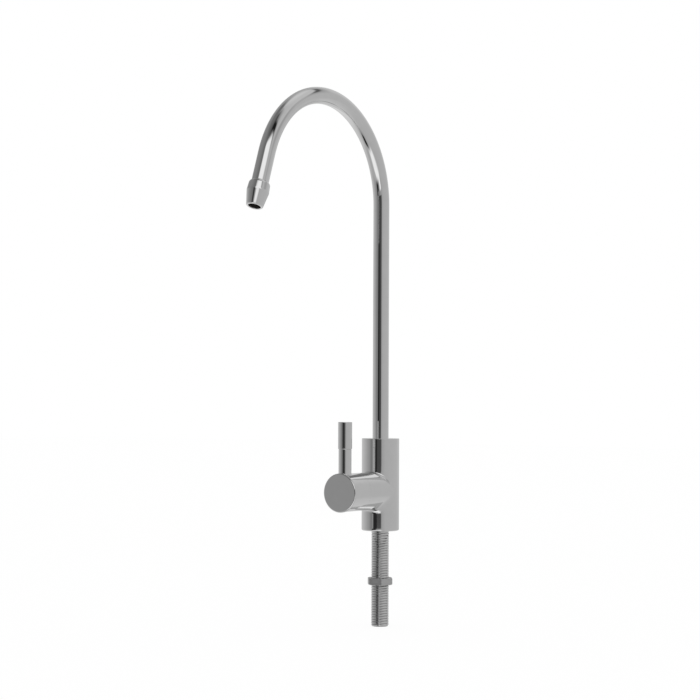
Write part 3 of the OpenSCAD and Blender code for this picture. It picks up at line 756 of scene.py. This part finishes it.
arm_rings = rounding(ARM_R, ARM_END, SEAM_ROUND, 3, 1) + [
    (GLAND_BORE_R, ARM_END), (GLAND_BORE_R, FLANGE_AT), (HOUSING_BORE_R, FLANGE_AT),
    (HOUSING_BORE_R, SEAT), (CHAMBER_R, SEAT), (CHAMBER_R, CHAMBER_FLOOR),
]
top_rings = rounding(BODY_R, BODY_H, TOP_ROUND, 4, 1) + [
    (SPOUT_SOCKET_R, BODY_H), (SPOUT_SOCKET_R, SPOUT_LEDGE), (SPOUT_PLENUM[0], SPOUT_LEDGE),
    SPOUT_PLENUM,
]
# A ring above the lower rounding keeps the wall's shading upright down to it.
base_rings = [(BODY_R, 2 * BASE_ROUND)] + rounding(BODY_R, 0, BASE_ROUND, 8, -1) + [
    (GROOVE[1], 0), (GROOVE[1], GROOVE[2]), (GROOVE[0], GROOVE[2]), (GROOVE[0], 0),
    (SHANK_R + SLIDE_FIT, 0), (SHANK_R + SLIDE_FIT, SHANK_BORE_TOP), (SHANK_PLENUM[0], SHANK_BORE_TOP),
    SHANK_PLENUM,
]
print("rings: arm", len(arm_rings), "top", len(top_rings), "base", len(base_rings))

# %% Valve body
BACK_STEPS = 90

body_mesh = bmesh.new()
loops = [
    [body_mesh.verts.new(corner_point(angle, k / CORNER_STEPS)) for angle in turns]
    for k in range(CORNER_STEPS + 1)
]
loops += [
    [
        body_mesh.verts.new(field_point(angle, at_square, k / FIELD_STEPS))
        for angle, at_square in zip(turns, square)
    ]
    for k in range(1, FIELD_STEPS + 1)
]
for inner, outer in zip(loops, loops[1:]):
    skin(body_mesh, inner, outer)
follow(body_mesh, loops[0], arm_rings, lambda i, ring: on_arm(turns[i], ring[1], ring[0]))

edge = loops[-1]
top_edge = edge[0:SIDE_STEPS + 1]
right_edge = edge[SIDE_STEPS:2 * SIDE_STEPS + 1]
bottom_edge = edge[2 * SIDE_STEPS:3 * SIDE_STEPS + 1][::-1]
left_edge = ([*edge[3 * SIDE_STEPS:], edge[0]])[::-1]
rows = []
for right_corner, left_corner in zip(right_edge, left_edge):
    z = right_corner.co.z / MM
    between = [
        body_mesh.verts.new(on_body(math.pi / 2 + math.pi * k / BACK_STEPS, z))
        for k in range(1, BACK_STEPS)
    ]
    rows.append([right_corner, *between, left_corner])
for upper, lower in zip(rows, rows[1:]):
    for k in range(BACK_STEPS):
        body_mesh.faces.new((upper[k], upper[k + 1], lower[k + 1], lower[k]))
top_loop = top_edge + rows[0][1:-1]
base_loop = bottom_edge + rows[-1][1:-1]
for loop, rings in ((top_loop, top_rings), (base_loop, base_rings)):
    angles = [math.atan2(v.co.x, -v.co.y) for v in loop]
    follow(body_mesh, loop, rings, lambda i, ring: on_body(angles[i], ring[1], ring[0]))
bmesh.ops.recalc_face_normals(body_mesh, faces=body_mesh.faces)

bpy.ops.object.select_all(action="DESELECT")
body_data = bpy.data.meshes.new("valve_body_shell")
body_mesh.to_mesh(body_data)
body_mesh.free()
body_shell = bpy.data.objects.new("valve_body_shell", body_data)
bpy.context.collection.objects.link(body_shell)
body_shell.select_set(True)
bpy.context.view_layer.objects.active = body_shell
finish_piece(body_shell, "valve_body")

# %% [markdown]
# ## Swivel bush
#
# The spout turns in a bush that is pressed into the body's top. Only its upper face shows, a flat ring
# round the tube with a rounded bevel at each edge.

# %% Swivel bush
BUSH_H = 6.0
BUSH_R = 7.5
BUSH_BORE_R = 5.2
BUSH_BEVEL = 0.4

bush_low = BODY_H - BUSH_H
bush = turned("bush", [
    (BUSH_BORE_R, bush_low), (BUSH_R, bush_low), (BUSH_R, BODY_H), (BUSH_BORE_R, BODY_H),
    (BUSH_BORE_R, bush_low),
])
round_ring(BUSH_R, BODY_H, BUSH_BEVEL, 3)
round_ring(BUSH_BORE_R, BODY_H, BUSH_BEVEL / 2, 3)
lay(bush, UPRIGHT)
finish_piece(bush, "swivel_bush")

# %% [markdown]
# ## Handle hub and cap
#
# The hub is the turning end of the arm, with the same width, so a fine seam is all that shows between them.
# Its front is closed by a flat cap that stands out a hair. The cap's rim is well rounded in front and a
# little behind, so it mirrors the dark gap round the camera as a thin dark line beside the disc.

# %% Hub
HUB_FRONT = 44.0
SEAM = 0.04
HUB_CAVITY_R = 10.05
HUB_WEB = 32.4
SPINDLE_HOLE_R = 3.55
CAP_RECESS_R = 5.0
CAP_RECESS = 41.95

arm_frame = Matrix.Translation((0, 0, ARM_Z * MM)) @ Matrix.Rotation(math.pi / 2, 4, "X")
hub_start = ARM_END + SEAM
hub = turned("hub", [
    (HUB_CAVITY_R, hub_start), (ARM_R, hub_start), (ARM_R, HUB_FRONT), (CAP_RECESS_R, HUB_FRONT),
    (CAP_RECESS_R, CAP_RECESS), (SPINDLE_HOLE_R, CAP_RECESS), (SPINDLE_HOLE_R, HUB_WEB),
    (HUB_CAVITY_R, HUB_WEB), (HUB_CAVITY_R, hub_start),
])
round_ring(ARM_R, hub_start, SEAM_ROUND, 3)
round_ring(ARM_R, HUB_FRONT, SEAM_ROUND, 3)
lay(hub, arm_frame)
finish_piece(hub, "handle_hub")

# %% Cap
REACH = 45.2
CAP_R = 12.1
CAP_RING = (3.75, 4.95)
CAP_RING_AT = 42.0
CAP_BACK_ROUND = 0.2
CAP_RIM_ROUND = 0.8

cap = turned("cap", [
    (CAP_RING[0], HUB_FRONT), (CAP_RING[0], CAP_RING_AT), (CAP_RING[1], CAP_RING_AT),
    (CAP_RING[1], HUB_FRONT), (CAP_R, HUB_FRONT), (CAP_R, REACH),
], capped=True)
round_ring(CAP_R, HUB_FRONT, CAP_BACK_ROUND, 3)
round_ring(CAP_R, REACH, CAP_RIM_ROUND, 8)
lay(cap, arm_frame)
finish_piece(cap, "hub_cap")

# %% [markdown]
# ## Lever
#
# The lever is a plain rod, screwed into the hub, with a slightly thicker grip on its upper end. Both have
# small bevels, and the step between them shows as one bright line.

# %% Lever rod and grip
LEVER_AT = REACH - 5.9
ROD_R = 4.0
ROD_LOW = 36.2
GRIP_R = 4.35
GRIP_LOW = 52.4
GRIP_TOP = ARM_Z + 43.7
LEVER_BEVEL = 0.3

lever_frame = Matrix.Translation((0, -LEVER_AT * MM, 0))
rod = turned("rod", [(ROD_R, ROD_LOW), (ROD_R, GRIP_LOW)], capped=True)
round_ring(ROD_R, GRIP_LOW, LEVER_BEVEL, 3)
lay(rod, lever_frame)
finish_piece(rod, "lever_rod")

grip = turned("grip", [(GRIP_R, GRIP_LOW), (GRIP_R, GRIP_TOP)], capped=True)
round_ring(GRIP_R, GRIP_LOW, LEVER_BEVEL, 3)
round_ring(GRIP_R, GRIP_TOP, LEVER_BEVEL, 4)
lay(grip, lever_frame)
finish_piece(grip, "lever_grip")

# %% [markdown]
# ## Threaded shank
#
# The shank has a thread with 16 turns to the inch. One tooth of the thread is drawn as a line of vertices,
# and the Screw modifier turns it into the helix. Bisect cuts both ends flat, and the lower end is brought
# in to a bevel, as a die leaves it. A Boolean drills the bore.

# %% Thread
SHANK_LOW = -60.6
SHANK_TOP = 10.0
PITCH = 25.4 / 16
THREAD_DEPTH = 0.35
THREAD_FLANK = 0.275
THREAD_LEAD = 0.4
SHANK_BEVEL = 0.6
THREAD_STEPS = 48

root_r = SHANK_R - THREAD_DEPTH
tooth = [(root_r, 0.0), (SHANK_R, THREAD_FLANK), (SHANK_R, 1 - THREAD_FLANK), (root_r, 1.0)]
thread_start = SHANK_LOW + THREAD_LEAD - 2 * PITCH
thread_turns = math.ceil((SHANK_TOP - thread_start) / PITCH) + 1

bpy.ops.object.select_all(action="DESELECT")
bpy.ops.mesh.primitive_plane_add(size=PITCH * MM)
shank = bpy.context.object
shank.name = "shank"
bpy.ops.object.mode_set(mode="EDIT")
bpy.ops.mesh.select_mode(type="VERT")
bpy.ops.mesh.select_all(action="SELECT")
bpy.ops.mesh.merge(type="CENTER")
bpy.ops.transform.translate(value=Vector((tooth[0][0], 0, thread_start)) * MM)
for (r0, z0), (r1, z1) in zip(tooth, tooth[1:]):
    step = Vector((r1 - r0, 0, (z1 - z0) * PITCH)) * MM
    bpy.ops.mesh.extrude_vertices_move(TRANSFORM_OT_translate={"value": step})
bpy.ops.object.mode_set(mode="OBJECT")
bpy.ops.object.modifier_add(type="SCREW")
helix = shank.modifiers[-1]
helix.axis = "Z"
helix.angle = math.tau
helix.screw_offset = PITCH * MM
helix.iterations = thread_turns
helix.steps = THREAD_STEPS
helix.render_steps = THREAD_STEPS
helix.use_merge_vertices = True
helix.merge_threshold = 2 * MERGE
bpy.ops.object.modifier_apply(modifier=helix.name)
print("thread of", thread_turns, "turns,", len(shank.data.polygons), "faces")

# %% Ends of the shank
bpy.ops.object.mode_set(mode="EDIT")
for cut, outwards in ((SHANK_LOW, -1), (SHANK_TOP, 1)):
    bpy.ops.mesh.select_all(action="SELECT")
    bpy.ops.mesh.bisect(
        plane_co=(0, 0, cut * MM), plane_no=(0, 0, outwards), use_fill=True, clear_outer=True,
        threshold=CUT_NEAR,
    )
bpy.ops.mesh.select_all(action="SELECT")
bpy.ops.mesh.remove_doubles(threshold=MERGE)
bpy.ops.mesh.normals_make_consistent(inside=False)
bpy.ops.object.mode_set(mode="OBJECT")
for vertex in shank.data.vertices:
    limit = (SHANK_R - SHANK_BEVEL) * MM + vertex.co.z - SHANK_LOW * MM
    if vertex.co.xy.length > limit:
        vertex.co.xy *= limit / vertex.co.xy.length
print("shank from", SHANK_LOW, "to", SHANK_TOP, "mm")


# %% Bore of the shank
def cut_with(piece, cutter, operation):
    """Applies a Boolean of a turned cutter to a piece and deletes the cutter."""
    bpy.ops.object.select_all(action="DESELECT")
    piece.select_set(True)
    bpy.context.view_layer.objects.active = piece
    bpy.ops.object.modifier_add(type="BOOLEAN")
    boolean = piece.modifiers[-1]
    boolean.operation = operation
    boolean.solver = "EXACT"
    boolean.object = cutter
    bpy.ops.object.modifier_apply(modifier=boolean.name)
    bpy.data.objects.remove(cutter)


INLET_R = 3.25
INLET_L = 12.0
INLET_LEAD = 0.6
WATER_R = 2.5

drill = turned("drill", [
    (INLET_R + INLET_LEAD + PAST, SHANK_LOW - PAST), (INLET_R, SHANK_LOW + INLET_LEAD),
    (INLET_R, SHANK_LOW + INLET_L), (WATER_R, SHANK_LOW + INLET_L), (WATER_R, SHANK_TOP + PAST),
], capped=True)
lay(drill, UPRIGHT)
cut_with(shank, drill, "DIFFERENCE")
finish_piece(shank, "threaded_shank")

# %% [markdown]
# ## Lock nut
#
# A thin hexagon nut. A six-sided prism is cut by a double cone, which leaves the round chamfers at the
# corners that a turned nut has. Then it is bored, with a short lead at each end of the bore.

# %% Lock nut
NUT_AF = 14.8
NUT_H = 4.3
NUT_TOP = -30.0
NUT_TURN = math.radians(10)
NUT_FACE_MARGIN = 0.3
NUT_BORE_R = 5.65
NUT_LEAD = 0.5
CLEAR = 0.01

nut_face_r = NUT_AF / 2 + NUT_FACE_MARGIN
nut_corner_r = NUT_AF / 2 / math.cos(math.pi / 6)
nut_low = NUT_TOP - NUT_H
chamfer = (nut_corner_r - nut_face_r) * math.tan(math.pi / 6)
bpy.ops.object.select_all(action="DESELECT")
bpy.ops.mesh.primitive_cylinder_add(vertices=6, radius=nut_corner_r * MM, depth=NUT_H * MM)
nut = bpy.context.object
nut.name = "nut"
nut.rotation_euler.z = NUT_TURN - math.pi / 6
nut.location.z = (NUT_TOP - NUT_H / 2) * MM
bpy.ops.object.transform_apply(location=True, rotation=True, scale=True)
cone = turned("cone", [
    (nut_face_r, nut_low), (nut_corner_r + CLEAR, nut_low + chamfer),
    (nut_corner_r + CLEAR, NUT_TOP - chamfer), (nut_face_r, NUT_TOP),
], capped=True)
lay(cone, UPRIGHT)
cut_with(nut, cone, "INTERSECT")
reamer = turned("reamer", [
    (NUT_BORE_R + NUT_LEAD + PAST, nut_low - PAST), (NUT_BORE_R, nut_low + NUT_LEAD),
    (NUT_BORE_R, NUT_TOP - NUT_LEAD), (NUT_BORE_R + NUT_LEAD + PAST, NUT_TOP + PAST),
], capped=True)
lay(reamer, UPRIGHT)
cut_with(nut, reamer, "DIFFERENCE")
finish_piece(nut, "lock_nut", satin_plate)
